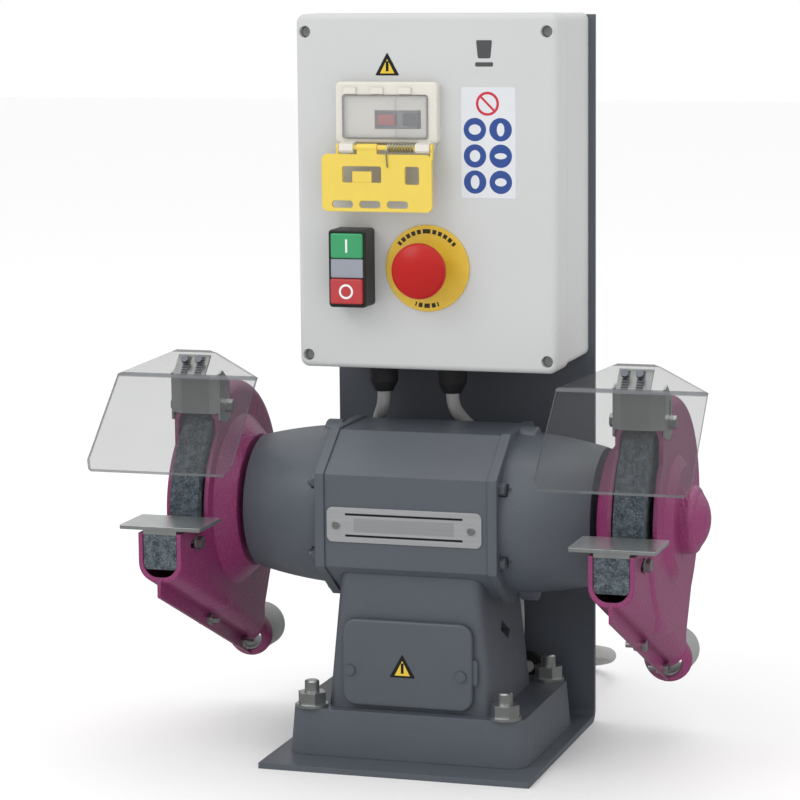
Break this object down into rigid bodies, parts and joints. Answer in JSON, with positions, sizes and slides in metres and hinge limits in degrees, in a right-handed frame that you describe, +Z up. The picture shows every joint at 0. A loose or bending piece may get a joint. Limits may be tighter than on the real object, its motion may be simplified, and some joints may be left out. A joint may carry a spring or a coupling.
{
  "type": "bench grinder",
  "caption": "Double-ended bench grinder on a pedestal and bent steel bracket, with guarded wheels, eye shields, work rests and a switch cabinet with an emergency stop.",
  "frame": {"origin": "on the underside of the bracket's floor plate, in the middle of its width, below the switch cabinet's front face", "axes": "+X along the spindle to the user's right, +Y to the back, +Z up"},
  "size_m": [0.41, 0.3748, 0.5015],
  "materials": {
    "slate_paint": "satin slate grey enamel",
    "magenta_paint": "orange-peel magenta enamel",
    "zinc": "bright zinc plating",
    "bare_steel": "ground steel",
    "lamination": "varnished laminations",
    "copper": "enamelled copper",
    "plate_metal": "brushed nameplate",
    "abrasive": "vitrified grit",
    "cabinet_plastic": "light grey moulded plastic",
    "cream_plastic": "cream moulded plastic",
    "clear_plastic": "clear polycarbonate",
    "black_plastic": "black moulded plastic",
    "yellow_plastic": "yellow moulded plastic",
    "red_plastic": "red moulded plastic",
    "green_plastic": "green moulded plastic",
    "grey_plastic": "mid grey moulded plastic",
    "cable_grey": "grey sheath"
  },
  "bodies": {
    "frame": {"base_bracket": "slate_paint", "pedestal": "slate_paint", "terminal_cover": "slate_paint", "anchor_fasteners": "zinc", "small_fasteners": "zinc", "column_electrics": "plate_metal", "motor_housing": "slate_paint", "motor_bolts": "slate_paint", "stator_core": "lamination", "stator_windings": "copper", "bearing_outer_rings": "bare_steel", "nameplate": "plate_metal", "guard_fasteners": "zinc", "spark_seals": "abrasive", "cabinet_body": "cabinet_plastic", "cabinet_lid": "cabinet_plastic", "breaker_frame": "cream_plastic", "breaker_window": "clear_plastic", "breaker_module": "grey_plastic", "start_stop_housing": "black_plastic", "estop_plate": "yellow_plastic", "cable_glands": "black_plastic", "cabinet_cables": "cable_grey", "mains_cord": "cable_grey", "mains_coil": "cable_grey", "mains_plug": "grey_plastic", "end_bell_left": "slate_paint", "guard_inner_left": "magenta_paint", "guard_cover_left": "magenta_paint", "dust_stub_left": "grey_plastic", "end_bell_right": "slate_paint", "guard_inner_right": "magenta_paint", "guard_cover_right": "magenta_paint", "dust_stub_right": "grey_plastic"},
    "spindle": {"shaft": "bare_steel", "rotor_core": "lamination", "bearing_inner_sets": "bare_steel", "wheel_flanges": "bare_steel", "spindle_nuts": "bare_steel", "wheel_left": "abrasive", "wheel_right": "abrasive"},
    "start_key": {"start_button": "green_plastic"},
    "stop_key": {"stop_button": "red_plastic"},
    "breaker_red_key": {"breaker_red_button": "red_plastic"},
    "breaker_black_key": {"breaker_black_button": "black_plastic"},
    "emergency_stop": {"estop_stem": "black_plastic", "estop_head": "red_plastic"},
    "lockout_cover": {"lockout_flap": "yellow_plastic", "flap_spring": "zinc"},
    "arrester_left": {"spark_arrester_left": "zinc"},
    "shield_left": {"eye_shield_left": "clear_plastic", "shield_screws_left": "zinc"},
    "rest_left": {"tool_rest_left": "zinc", "rest_bolts_left": "zinc"},
    "arrester_right": {"spark_arrester_right": "zinc"},
    "shield_right": {"eye_shield_right": "clear_plastic", "shield_screws_right": "zinc"},
    "rest_right": {"tool_rest_right": "zinc", "rest_bolts_right": "zinc"}
  },
  "joints": [
    {"name": "spindle_spin", "type": "hinge", "parent": "frame", "child": "spindle", "pos_m": [0, 0.012, 0.165], "axis": [1, 0, 0], "continuous": true},
    {"name": "start_press", "type": "slide", "parent": "frame", "child": "start_key", "axis": [0, 1, 0], "range_m": [0, 0.003], "stiffness_N_per_m": 400},
    {"name": "stop_press", "type": "slide", "parent": "frame", "child": "stop_key", "axis": [0, 1, 0], "range_m": [0, 0.004], "stiffness_N_per_m": 400},
    {"name": "breaker_red_press", "type": "slide", "parent": "frame", "child": "breaker_red_key", "axis": [0, 1, 0], "range_m": [0, 0.0022], "stiffness_N_per_m": 400},
    {"name": "breaker_black_press", "type": "slide", "parent": "frame", "child": "breaker_black_key", "axis": [0, 1, 0], "range_m": [0, 0.0022], "stiffness_N_per_m": 400},
    {"name": "emergency_stop_press", "type": "slide", "parent": "frame", "child": "emergency_stop", "axis": [0, 1, 0], "range_m": [0, 0.005]},
    {"name": "lockout_swing", "type": "hinge", "parent": "frame", "child": "lockout_cover", "pos_m": [0, -0.014, 0.413], "axis": [-1, 0, 0], "range_deg": [0, 176]},
    {"name": "arrester_slide_left", "type": "slide", "parent": "frame", "child": "arrester_left", "axis": [0, 0, -1], "range_m": [-0.002, 0.007]},
    {"name": "shield_slide_left", "type": "slide", "parent": "arrester_left", "child": "shield_left", "axis": [0, 0.6585, 0.7526], "range_m": [-0.0035, 0.0035]},
    {"name": "rest_slide_left", "type": "slide", "parent": "frame", "child": "rest_left", "axis": [0, -1, 0], "range_m": [-0.002, 0.007]},
    {"name": "arrester_slide_right", "type": "slide", "parent": "frame", "child": "arrester_right", "axis": [0, 0, -1], "range_m": [-0.002, 0.007]},
    {"name": "shield_slide_right", "type": "slide", "parent": "arrester_right", "child": "shield_right", "axis": [0, 0.6585, 0.7526], "range_m": [-0.0035, 0.0035]},
    {"name": "rest_slide_right", "type": "slide", "parent": "frame", "child": "rest_right", "axis": [0, -1, 0], "range_m": [-0.002, 0.007]}
  ]
}
